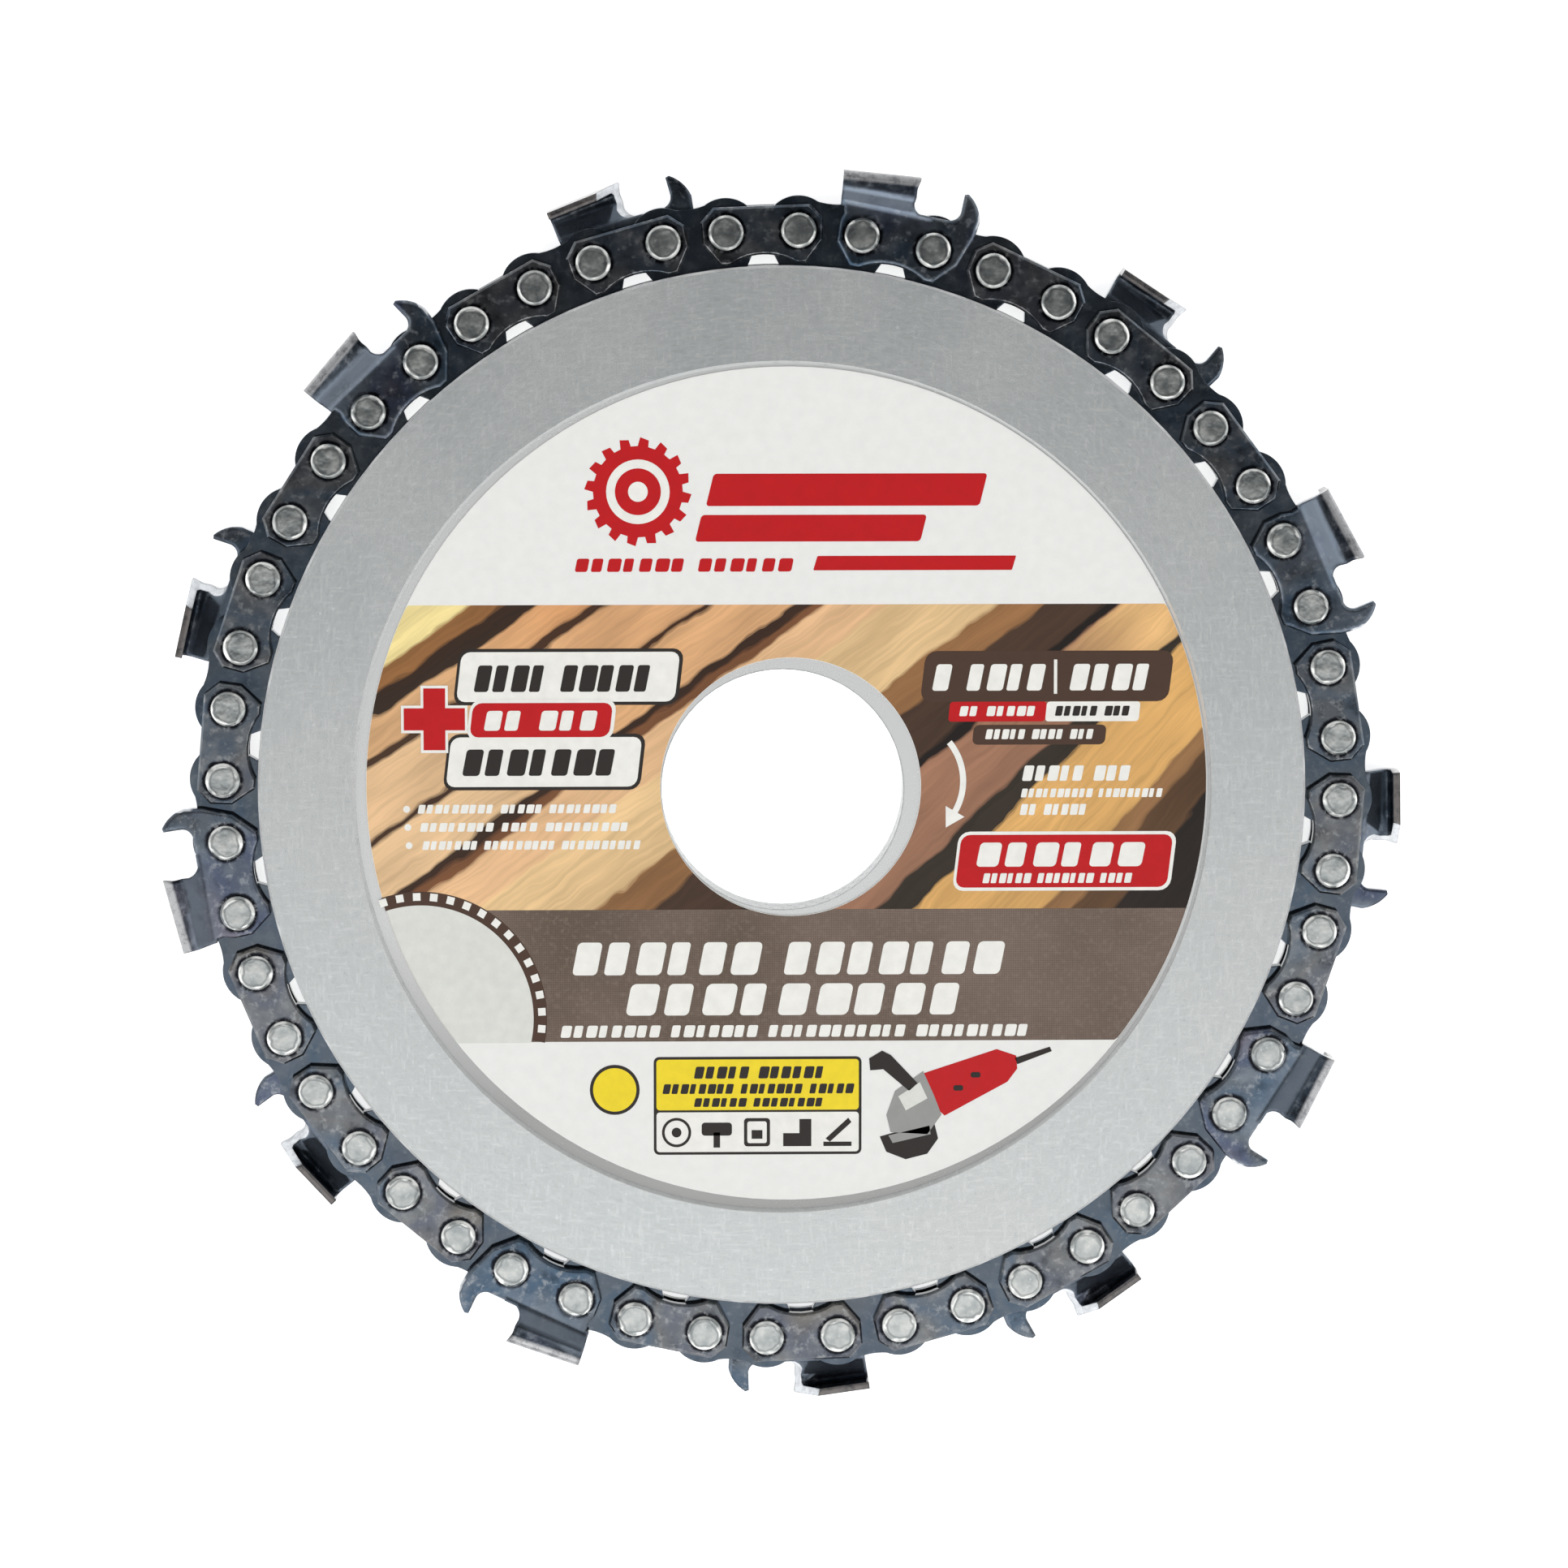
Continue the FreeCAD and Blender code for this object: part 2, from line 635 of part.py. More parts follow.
def make_chain_rivets():
    master = make_chain_rivet_master()
    rivets = []
    for number in range(int(size_of("outer_link_count"))):
        for side in ("-", "+"):
            rivet = instance(f"chain_rivet_{len(rivets) + 1}", [master])
            angle = f"(sheet.first_cutter_angle + {number} * {LINK_STEP} {side} sheet.outer_link_angle / 2)"
            place(rivet, angle, "sheet.pin_circle_radius", MID_HEIGHT)
            rivets.append(rivet)
    export_as(instance("chain_rivet_set", rivets), "chain_rivets")


# Checks and export

def check_objects():
    for item in doc.Objects:
        if "Invalid" in item.State or "Error" in item.State:
            raise RuntimeError(f"{item.Label} failed: {item.State}")
    for item in exported:
        shape = item.Shape
        if shape.isNull() or not shape.isValid() or not shape.Solids:
            raise RuntimeError(f"{item.Label} has no valid solid")


def export_parts():
    os.makedirs("parts", exist_ok=True)
    for item in exported:
        item.Shape.exportStep(os.path.join("parts", f"{item.Label}.step"))
        volume = sum(solid.Volume for solid in item.Shape.Solids)
        print(f"{item.Label}: {len(item.Shape.Solids)} solids, {volume:.1f} mm3")


fill_sheet()
make_front_plate()
make_back_plate()
make_spacer()
make_plate_rivets()
make_label()
make_chain()
doc.recompute()
check_objects()
export_parts()
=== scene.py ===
import json
import math

import bpy
from mathutils import Matrix, Vector


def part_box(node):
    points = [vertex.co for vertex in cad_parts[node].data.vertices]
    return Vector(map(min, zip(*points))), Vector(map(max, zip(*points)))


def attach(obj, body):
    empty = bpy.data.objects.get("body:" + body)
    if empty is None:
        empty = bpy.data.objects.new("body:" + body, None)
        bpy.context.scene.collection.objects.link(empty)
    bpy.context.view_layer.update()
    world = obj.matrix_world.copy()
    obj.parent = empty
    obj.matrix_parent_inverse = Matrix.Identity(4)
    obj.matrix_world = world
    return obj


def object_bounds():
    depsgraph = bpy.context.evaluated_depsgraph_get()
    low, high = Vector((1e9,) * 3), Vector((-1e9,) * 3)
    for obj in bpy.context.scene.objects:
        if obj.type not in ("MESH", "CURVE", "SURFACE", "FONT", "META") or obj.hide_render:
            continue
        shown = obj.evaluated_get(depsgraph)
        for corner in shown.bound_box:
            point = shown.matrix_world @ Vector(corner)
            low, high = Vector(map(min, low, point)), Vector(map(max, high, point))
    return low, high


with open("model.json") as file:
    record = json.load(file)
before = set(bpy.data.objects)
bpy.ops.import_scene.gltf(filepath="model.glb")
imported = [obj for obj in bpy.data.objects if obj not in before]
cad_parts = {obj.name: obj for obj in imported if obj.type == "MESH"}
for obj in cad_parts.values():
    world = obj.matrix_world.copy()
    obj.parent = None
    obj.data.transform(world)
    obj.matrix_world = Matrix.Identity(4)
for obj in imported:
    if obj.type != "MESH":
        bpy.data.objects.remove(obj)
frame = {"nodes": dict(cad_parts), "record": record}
MM = 0.001


def box_of_object():
    return [list(corner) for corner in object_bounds()]


cad_box = box_of_object()


# Camera: nearly straight down on the label, with +Y up in the picture

CAMERA_AZIMUTH = math.radians(100.2)
CAMERA_ELEVATION = math.radians(82.3)
CAMERA_DISTANCE = 0.6
CAMERA_LENS = 149.6
CAMERA_TARGET = Vector((0.18, 0.32, 2.0)) * MM


def add_camera():
    level = math.cos(CAMERA_ELEVATION)
    toward = Vector((
        level * math.cos(CAMERA_AZIMUTH),
        level * math.sin(CAMERA_AZIMUTH),
        math.sin(CAMERA_ELEVATION),
    ))
    right = Vector((0, 1, 0)).cross(toward).normalized()
    up = toward.cross(right)
    data = bpy.data.cameras.new("camera")
    data.lens = CAMERA_LENS
    data.sensor_width = 36
    data.clip_start = 0.01
    camera = bpy.data.objects.new("camera", data)
    turn = Matrix((right, up, toward)).transposed().to_4x4()
    camera.matrix_world = Matrix.Translation(CAMERA_TARGET + toward * CAMERA_DISTANCE) @ turn
    bpy.context.scene.collection.objects.link(camera)
    bpy.context.scene.camera = camera


# Shader building

def tone(red, green, blue):
    """Linear colour for a display colour given in steps of 255."""
    return tuple((channel / 255) ** 2.2 for channel in (red, green, blue))


class NodeTree:
    """A node tree, with short ways to add the nodes that the materials and the world share."""

    def __init__(self, tree):
        self.tree = tree
        self.coordinates = tree.nodes.new("ShaderNodeTexCoord")

    def put(self, socket, value):
        if isinstance(value, bpy.types.NodeSocket):
            self.tree.links.new(value, socket)
        else:
            socket.default_value = value

    def node(self, kind, inputs=None, **settings):
        node = self.tree.nodes.new(kind)
        for key, value in settings.items():
            setattr(node, key, value)
        for key, value in (inputs or {}).items():
            self.put(node.inputs[key], value)
        return node

    def math(self, operation, first, second=0.0):
        return self.node("ShaderNodeMath", {0: first, 1: second}, operation=operation).outputs[0]

    def times(self, first, second):
        return self.math("MULTIPLY", first, second)

    def plus(self, first, second):
        return self.math("ADD", first, second)

    def minus(self, first, second):
        return self.math("SUBTRACT", first, second)

    def over(self, first, second):
        return self.math("DIVIDE", first, second)

    def larger(self, first, second):
        return self.math("MAXIMUM", first, second)

    def length(self, x, y):
        return self.math("SQRT", self.plus(self.times(x, x), self.times(y, y)))

    def vector(self, x, y, z):
        return self.node("ShaderNodeCombineXYZ", {"X": x, "Y": y, "Z": z}).outputs[0]

    def parts(self, vector):
        """The X, Y and Z of a vector."""
        return tuple(self.node("ShaderNodeSeparateXYZ", {0: vector}).outputs)

    def scaled(self, vector, x, y, z):
        inputs = {0: vector, 1: (x, y, z)}
        return self.node("ShaderNodeVectorMath", inputs, operation="MULTIPLY").outputs[0]

    def noise(self, vector, scale, detail, roughness=0.55):
        inputs = {"Vector": vector, "Scale": scale, "Detail": detail, "Roughness": roughness}
        return self.node("ShaderNodeTexNoise", inputs).outputs["Fac"]

    def fit(self, value, low, high, to_low=0.0, to_high=1.0, smooth=False):
        inputs = {"Value": value, "From Min": low, "From Max": high, "To Min": to_low, "To Max": to_high}
        kind = "SMOOTHSTEP" if smooth else "LINEAR"
        return self.node("ShaderNodeMapRange", inputs, interpolation_type=kind).outputs[0]

    def band(self, value, low, high, soft):
        """1 between low and high, fading to 0 outside them."""
        return self.times(self.fit(value, low - soft, low), self.fit(value, high + soft, high))

    def scaled_by(self, color, factor):
        inputs = {0: color, "Scale": factor}
        return self.node("ShaderNodeVectorMath", inputs, operation="SCALE").outputs[0]

    def ramp(self, value, stops, interpolation="LINEAR"):
        node = self.node("ShaderNodeValToRGB", {"Fac": value})
        node.color_ramp.interpolation = interpolation
        elements = node.color_ramp.elements
        elements.remove(elements[1])
        elements[0].position = stops[0][0]
        elements[0].color = (*stops[0][1], 1)
        for position, color in stops[1:]:
            elements.new(position).color = (*color, 1)
        return node.outputs["Color"]

    def mix(self, factor, first, second):
        node = self.node("ShaderNodeMix", data_type="RGBA")
        self.put(node.inputs["Factor"], factor)
        for key, color in (("A", first), ("B", second)):
            socket = [s for s in node.inputs if s.name == key and s.type == "RGBA"][0]
            self.put(socket, color if isinstance(color, bpy.types.NodeSocket) else (*color, 1))
        return [s for s in node.outputs if s.type == "RGBA"][0]


class Shader(NodeTree):
    """A material with one principled surface."""

    def __init__(self, name):
        self.material = bpy.data.materials.new(name)
        self.material.use_nodes = True
        super().__init__(self.material.node_tree)
        self.surface = self.tree.nodes["Principled BSDF"]
        self.place = self.coordinates.outputs["Object"]

    def rounded(self, radius):
        """The surface's direction with its edges eased by a radius, as on a tumbled or worn piece."""
        return self.node("ShaderNodeBevel", {"Radius": radius}, samples=6).outputs[0]

    def edges(self, radius):
        """1 along the piece's edges, fading to 0 at a radius from them."""
        flat = self.node("ShaderNodeNewGeometry").outputs["True Normal"]
        inputs = {0: flat, 1: self.rounded(radius)}
        turn = self.node("ShaderNodeVectorMath", inputs, operation="DOT_PRODUCT").outputs["Value"]
        return self.fit(turn, 0.99, 0.93)

    def bump(self, height, distance, strength, onto=None):
        inputs = {"Height": height, "Distance": distance, "Strength": strength}
        if onto:
            inputs["Normal"] = onto
        self.put(self.surface.inputs["Normal"], self.node("ShaderNodeBump", inputs).outputs[0])

    def finish(self, **sockets):
        names = {"base_color": "Base Color", "metallic": "Metallic", "roughness": "Roughness",
                 "specular": "Specular IOR Level"}
        for key, value in sockets.items():
            self.put(self.surface.inputs[names[key]], value)
        return self.material


def cover(piece, material):
    piece.data.materials.clear()
    piece.data.materials.append(material)


def add_mesh(name, vertices, faces, material):
    mesh = bpy.data.meshes.new(name)
    mesh.from_pydata([tuple(v) for v in vertices], [], [list(f) for f in faces])
    mesh.update()
    piece = bpy.data.objects.new(name, mesh)
    bpy.context.scene.collection.objects.link(piece)
    cover(piece, material)
    return piece


def polar(shader):
    """Distance from the disc's axis, and the two coordinates across the disc."""
    x, y, _ = shader.parts(shader.place)
    return shader.length(x, y), x, y


def round_strokes(shader, across, around, detail):
    """Noise drawn out round the disc's axis: strokes to the metre outwards, and strokes round the circle."""
    radius, x, y = polar(shader)
    place = shader.vector(
        shader.times(shader.over(x, radius), around),
        shader.times(shader.over(y, radius), around),
        shader.times(radius, across))
    return shader.noise(place, 1.0, detail, 0.65)


# Metal

LINKS = 26
LINK_STEP = 2 * math.pi / LINKS
FIRST_LINK = math.radians(90 - 11.8)
HALF_LINK = math.radians(7.39 / 2)
RIVET_CIRCLE = 51.3 * MM
RIVET_LINE = RIVET_CIRCLE * math.cos(HALF_LINK)
RIVET_REACH = RIVET_CIRCLE * math.sin(HALF_LINK)
RIVET_HEAD = 1.6 * MM
CHAIN_LEVEL = 2.0 * MM
RECESS_LEVEL = 3.5 * MM
RECESS_RADIUS = 39.5 * MM
BORE_RADIUS = 11.18 * MM
# Along Y, where the painted shade on the recess floor begins and where it is full
RECESS_SHADE_FROM = -12.0 * MM
RECESS_SHADE_FULL = -30.0 * MM


def on_link(shader):
    """A place on its own link: how far ahead of the link's middle, and how far out from the rivets' line."""
    radius, x, y = polar(shader)
    angle = shader.minus(shader.math("ARCTAN2", y, x), FIRST_LINK - LINK_STEP / 2)
    within = shader.minus(shader.math("FLOORED_MODULO", angle, LINK_STEP), LINK_STEP / 2)
    ahead = shader.times(radius, shader.math("SINE", within))
    out = shader.minus(shader.times(radius, shader.math("COSINE", within)), RIVET_LINE)
    return shader.times(ahead, -1.0), out


def rivet_distance(shader, ahead, out):
    """Distance in the disc's plane from the nearest chain rivet's axis."""
    return shader.length(shader.minus(shader.math("ABSOLUTE", ahead), RIVET_REACH), out)


def from_chain_middle(shader):
    """Distance along the disc's axis from the chain's middle plane."""
    z = shader.parts(shader.place)[2]
    return shader.math("ABSOLUTE", shader.minus(z, CHAIN_LEVEL))


def recess_floor(shader, radius, z):
    """1 on the strip of recess floor that shows round the label."""
    below = shader.fit(z, RECESS_LEVEL + 0.06 * MM, RECESS_LEVEL + 0.02 * MM)
    above = shader.fit(z, RECESS_LEVEL - 0.3 * MM, RECESS_LEVEL - 0.1 * MM)
    within = shader.fit(radius, RECESS_RADIUS + 0.1 * MM, RECESS_RADIUS - 0.1 * MM)
    return shader.times(shader.times(below, above), within)


def brushed_plate():
    """Grey metal with fine broken strokes round the disc, duller in the recess, with painted shade on the
    recess floor towards -Y and on the bore wall.
    """
    shader = Shader("plate_brushed")
    radius, _, y = polar(shader)
    z = shader.parts(shader.place)[2]
    fine = round_strokes(shader, 5200, 60, 4.0)
    strokes = round_strokes(shader, 2300, 24, 3.0)
    tint = shader.plus(shader.times(fine, 0.5), shader.times(strokes, 0.5))
    cloud = shader.noise(shader.place, 60, 4.0)
    grain = shader.noise(shader.place, 6000, 2.0, 0.7)
    nicks = shader.noise(shader.place, 1500, 4.0, 0.75)
    upright = shader.noise(shader.scaled(shader.place, 3400, 620, 620), 1.0, 2.0)
    level = shader.noise(shader.scaled(shader.place, 620, 3400, 620), 1.0, 2.0)
    hatch = shader.larger(upright, level)

    steel = [(0.0, (0.432, 0.456, 0.451)), (1.0, (0.498, 0.522, 0.515))]
    color = shader.ramp(shader.fit(tint, 0.32, 0.68), steel)
    color = shader.mix(shader.fit(cloud, 0.4, 0.7, 0.0, 0.35), color, (0.55, 0.545, 0.53))
    color = shader.mix(shader.fit(nicks, 0.58, 0.74, 0.0, 0.5), color, (0.72, 0.73, 0.73))
    color = shader.mix(shader.fit(nicks, 0.42, 0.28, 0.0, 0.5), color, (0.34, 0.35, 0.36))
    color = shader.mix(shader.fit(hatch, 0.54, 0.72, 0.0, 0.22), color, (0.72, 0.73, 0.72))

    recess = recess_floor(shader, radius, z)
    color = shader.mix(recess, color, (0.60, 0.61, 0.60))
    # Painted shade: the recess floor darkens towards -Y
    recess_shade = shader.times(recess, shader.fit(y, RECESS_SHADE_FROM, RECESS_SHADE_FULL, 0.0, 0.75))
    color = shader.mix(recess_shade, color, (0.24, 0.24, 0.23))

    upwards = shader.parts(shader.coordinates.outputs["Normal"])[2]
    rim = shader.fit(z, RECESS_LEVEL - 0.2 * MM, RECESS_LEVEL + 0.1 * MM)
    slope = shader.times(shader.band(upwards, 0.4, 0.8, 0.05), rim)
    scratched = shader.times(slope, shader.fit(nicks, 0.3, 0.5, 0.4, 1.0))
    color = shader.mix(scratched, color, (0.62, 0.63, 0.63))

    # Painted shade: the bore wall darkened, mottled by the nicks noise
    bore_shade = shader.fit(radius, BORE_RADIUS + 0.07 * MM, BORE_RADIUS)
    bore_shade = shader.times(bore_shade, shader.fit(nicks, 0.35, 0.6, 0.35, 0.85))
    color = shader.mix(bore_shade, color, (0.33, 0.34, 0.345))

    shader.bump(shader.plus(shader.times(tint, 0.8), shader.times(grain, 0.05)), 0.003 * MM, 0.35)
    dull = shader.larger(slope, shader.times(recess, 0.7))
    rough = shader.fit(shader.plus(fine, cloud), 0.7, 1.3, 0.23, 0.29)
    return shader.finish(base_color=color, metallic=shader.fit(dull, 0.0, 1.0, 0.75, 0.25), roughness=rough)


def rivet_flush():
    """Plate rivets ground flush, with straight grinding marks."""
    shader = Shader("plate_rivet_ground")
    grind = shader.noise(shader.scaled(shader.place, 400, 4200, 400), 1.0, 4.0, 0.7)
    color = shader.ramp(grind, [(0.3, (0.38, 0.38, 0.39)), (0.7, (0.6, 0.6, 0.6))])
    shader.bump(grind, 0.01 * MM, 0.8)
    return shader.finish(base_color=color, metallic=0.95, roughness=shader.fit(grind, 0.3, 0.7, 0.25, 0.42))


class BluedSteel(Shader):
    """Oil-blued steel: dark, with tempering colours that drift from link to link, and bare worn edges."""

    def __init__(self, name, hues, edge):
        super().__init__(name)
        drift = self.noise(self.place, 80, 2.0)
        self.blotch = self.noise(self.place, 420, 5.0, 0.6)
        self.grit = self.noise(self.place, 3600, 3.0, 0.7)
        self.wear = self.noise(self.place, 1100, 4.0, 0.7)
        self.ahead, self.out = on_link(self)
        color = self.ramp(drift, hues)
        pale = tuple(1.9 * channel for channel in hues[2][1])
        color = self.mix(self.fit(self.blotch, 0.50, 0.70, 0.0, 0.6), color, pale)
        color = self.mix(self.fit(self.blotch, 0.45, 0.28, 0.0, 0.7), color, (0.012, 0.014, 0.018))
        color = self.mix(self.fit(self.grit, 0.62, 0.78, 0.0, 0.30), color, edge)
        away = rivet_distance(self, self.ahead, self.out)
        away = self.plus(away, self.fit(self.wear, 0.3, 0.7, -0.12 * MM, 0.12 * MM))
        # Painted shade: a near-black ring on the link round each rivet head, in the crease between head and
        # link
        rivet_ring_shade = self.fit(away, RIVET_HEAD * 1.24, RIVET_HEAD * 1.10)
        color = self.mix(rivet_ring_shade, color, (0.006, 0.007, 0.010))
        rubbed = self.fit(self.wear, 0.42, 0.62, 0.04, 1.0)
        rubbed = self.times(rubbed, self.fit(self.blotch, 0.40, 0.58, 0.35, 1.0))
        scuffs = self.fit(self.wear, 0.54, 0.66, 0.0, 0.4)
        self.bare = self.larger(self.times(self.edges(0.13 * MM), rubbed), scuffs)
        self.color = self.mix(self.bare, color, edge)

    def finish_steel(self, color, dull, dullest, edge_radius):
        height = self.plus(self.times(self.blotch, 0.7), self.times(self.grit, 0.12))
        self.bump(height, 0.01 * MM, 0.5, self.rounded(edge_radius))
        return self.finish(
            base_color=color,
            metallic=self.fit(dull, 0.0, 1.0, 0.93, dullest),
            roughness=self.fit(self.blotch, 0.3, 0.75, 0.08, 0.15))


def link_blued():
    """Straps and drive links: nearly neutral on the straps, darker and bluer on the drive links between
    them, a blue tint with painted shade.
    """
    hues = [
        (0.34, (0.105, 0.112, 0.118)),
        (0.43, (0.075, 0.098, 0.128)),
        (0.50, (0.112, 0.116, 0.118)),
        (0.57, (0.088, 0.098, 0.120)),
        (0.66, (0.122, 0.116, 0.108)),
    ]
    steel = BluedSteel("link_blued", hues, (0.34, 0.35, 0.35))
    between = steel.fit(from_chain_middle(steel), 0.72 * MM, 0.68 * MM)
    # Drive links between the straps: partly a bluer tint, partly painted shade where the straps shadow them
    color = steel.mix(steel.times(between, 0.6), steel.color, (0.045, 0.068, 0.095))
    edge_radius = steel.fit(steel.wear, 0.4, 0.6, 0.03 * MM, 0.18 * MM)
    return steel.finish_steel(color, steel.bare, 0.6, edge_radius)


CREASE = 2.6 * MM
FLARE_TOP = 4.3 * MM
BLADE_CORNER = 1.2 * MM
BLADE_TOP = 6.3 * MM
BLADE_SLOPE = math.tan(math.radians(6.0))
GROUND_FROM = 54.1 * MM


def leaning(shader):
    """How far a face looks out from the disc's axis, and forwards the way the cutters go."""
    across, up, _ = shader.parts(shader.coordinates.outputs["Normal"])
    radius, x, y = polar(shader)
    outward = shader.plus(shader.times(across, x), shader.times(up, y))
    forward = shader.minus(shader.times(across, y), shader.times(up, x))
    return shader.over(outward, radius), shader.over(forward, radius)


def cutter_blued():
    """Cutters: navy on the chassis, a painted sheen up the flare with a painted shade band above it, bare
    along the fold and ground at the front.
    """
    hues = [
        (0.34, (0.085, 0.105, 0.130)),
        (0.42, (0.052, 0.084, 0.124)),
        (0.50, (0.090, 0.104, 0.120)),
        (0.57, (0.064, 0.080, 0.122)),
        (0.66, (0.104, 0.098, 0.122)),
    ]
    steel = BluedSteel("cutter_blued", hues, (0.36, 0.375, 0.39))
    outward, forward = leaning(steel)
    behind = steel.fit(steel.ahead, BLADE_CORNER + 2.6 * MM, BLADE_CORNER + 1.4 * MM)

    uneven = steel.plus(steel.out, steel.fit(steel.blotch, 0.3, 0.7, -0.4 * MM, 0.4 * MM))
    # Painted sheen: a paler, less metallic band up the flare, from below the crease to the flare's top
    rise = steel.fit(uneven, CREASE - 1.6 * MM, CREASE + 0.9 * MM)
    fall = steel.fit(uneven, FLARE_TOP + 0.6 * MM, FLARE_TOP - 0.3 * MM)
    flare = steel.times(steel.times(rise, fall), behind)
    flare = steel.times(flare, steel.fit(steel.blotch, 0.25, 0.6, 0.7, 1.0))
    color = steel.mix(flare, steel.color, (0.135, 0.163, 0.20))

    shade = steel.times(steel.band(uneven, FLARE_TOP + 0.3 * MM, BLADE_TOP, 0.5 * MM), behind)
    shade = steel.times(shade, steel.fit(steel.wear, 0.66, 0.46, 0.55, 1.0))
    shade = steel.times(shade, steel.fit(steel.blotch, 0.62, 0.42, 0.55, 1.0))
    color = steel.mix(shade, color, (0.014, 0.018, 0.024))

    slope = steel.times(steel.minus(BLADE_CORNER, steel.ahead), BLADE_SLOPE)
    below = steel.minus(BLADE_TOP, steel.plus(steel.out, slope))
    strip = steel.times(steel.fit(below, 0.95 * MM, 0.70 * MM), steel.fit(outward, -0.3, -0.1))
    strip = steel.times(strip, steel.fit(steel.wear, 0.34, 0.54, 0.45, 1.0))
    aside = steel.fit(from_chain_middle(steel), 1.3 * MM, 1.9 * MM)
    bright = steel.ramp(aside, [(0.0, (0.13, 0.12, 0.115)), (1.0, (0.37, 0.375, 0.38))])
    color = steel.mix(strip, color, bright)

    top = steel.fit(polar(steel)[0], GROUND_FROM, GROUND_FROM + 0.3 * MM)
    ground = steel.times(steel.times(steel.fit(forward, 0.35, 0.55), top), behind)
    honed = steel.ramp(steel.wear, [(0.35, (0.42, 0.44, 0.46)), (0.6, (0.62, 0.64, 0.66))])
    color = steel.mix(ground, color, honed)

    dull = steel.larger(steel.times(flare, 0.45), steel.larger(strip, steel.bare))
    return steel.finish_steel(color, dull, 0.45, 0.4 * MM)


def peened_rivet():
    """Bright rivet heads with dull worn middles, a painted dark ring and a ragged painted highlight on the
    rim.
    """
    shader = Shader("rivet_peened")
    dimple = shader.noise(shader.place, 750, 2.0)
    swirl = shader.noise(shader.place, 2200, 4.0, 0.7)
    grit = shader.noise(shader.place, 5200, 3.0, 0.7)
    wobble = shader.noise(shader.place, 1000, 1.0)
    patches = shader.noise(shader.place, 700, 1.0)
    away = rivet_distance(shader, *on_link(shader))
    away = shader.plus(away, shader.fit(wobble, 0.3, 0.7, -0.15 * MM, 0.15 * MM))

    worn = [(0.32, (0.24, 0.26, 0.26)), (0.50, (0.34, 0.36, 0.35)), (0.70, (0.46, 0.47, 0.45))]
    color = shader.ramp(dimple, worn)
    color = shader.mix(shader.fit(swirl, 0.58, 0.76, 0.0, 0.6), color, (0.60, 0.61, 0.59))
    # Painted shade: a dark ring inside the head's rim
    groove = shader.band(away, RIVET_HEAD * 0.72, RIVET_HEAD * 0.78, RIVET_HEAD * 0.06)
    color = shader.mix(shader.times(groove, 0.45), color, (0.08, 0.085, 0.09))
    # Painted highlight: a ragged bright ring on the head's rim, less metallic
    rim_highlight = shader.fit(away, RIVET_HEAD * 0.80, RIVET_HEAD * 0.88)
    rim_highlight = shader.times(rim_highlight, shader.fit(patches, 0.43, 0.58, 0.0, 1.0))
    color = shader.mix(rim_highlight, color, (0.84, 0.85, 0.82))
    color = shader.mix(shader.fit(grit, 0.64, 0.80, 0.0, 0.5), color, (0.12, 0.12, 0.12))

    height = shader.plus(dimple, shader.times(swirl, 0.15))
    shader.bump(height, 0.03 * MM, 0.6, shader.rounded(0.2 * MM))
    return shader.finish(
        base_color=color,
        metallic=shader.fit(rim_highlight, 0.0, 1.0, 0.86, 0.7),
        roughness=shader.fit(dimple, 0.3, 0.7, 0.10, 0.18))


def dress_metal():
    finishes = {
        "plate_steel": brushed_plate(),
        "plate_rivet_steel": rivet_flush(),
        "link_steel": link_blued(),
        "cutter_steel": cutter_blued(),
        "rivet_steel": peened_rivet(),
    }
    for part in frame["record"]["subparts"]:
        if part["material_slot"] in finishes:
            cover(frame["nodes"][part["node"]], finishes[part["material_slot"]])


# Label: flat printed shapes on the film, in millimetres from the middle of the label

label_low, label_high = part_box("label")
LABEL_MIDDLE = (label_low + label_high) / 2 / MM
LABEL_RADIUS = (label_high.x - label_low.x) / 2 / MM
HOLE_RADIUS = 11.95
HOLE_MIDDLE = Vector((0.35, -0.05))
PLANK_TOP = 16.8
PLANK_FOOT = -11.4
BAND_FOOT = -23.7
FIELD_MARGIN = 0.03
ART_MARGIN = 0.05
FIELD_LAYER = 0.5
LAYER_STEP = 0.01
CORNER_STEPS = 4

# The drawing's heights are stretched and lifted as it is laid on the label
PRINT_STRETCH = 1.02
PRINT_LIFT = 0.35


def printed(name, base, rough=0.34, speck=0.04):
    """Ink on satin film: nearly even, with faint mottling."""
    shader = Shader(name)
    mottle = shader.noise(shader.place, 900, 3.0)
    dots = shader.noise(shader.place, 9000, 1.0)
    dark = tuple(channel * (1 - 2.2 * speck) for channel in base)
    color = shader.mix(shader.fit(mottle, 0.3, 0.7), base, dark)
    color = shader.mix(shader.fit(dots, 0.6, 0.75, 0.0, 0.35), color, dark)
    shader.bump(mottle, 0.01 * MM, 0.25)
    return shader.finish(base_color=color, roughness=rough, specular=0.3)


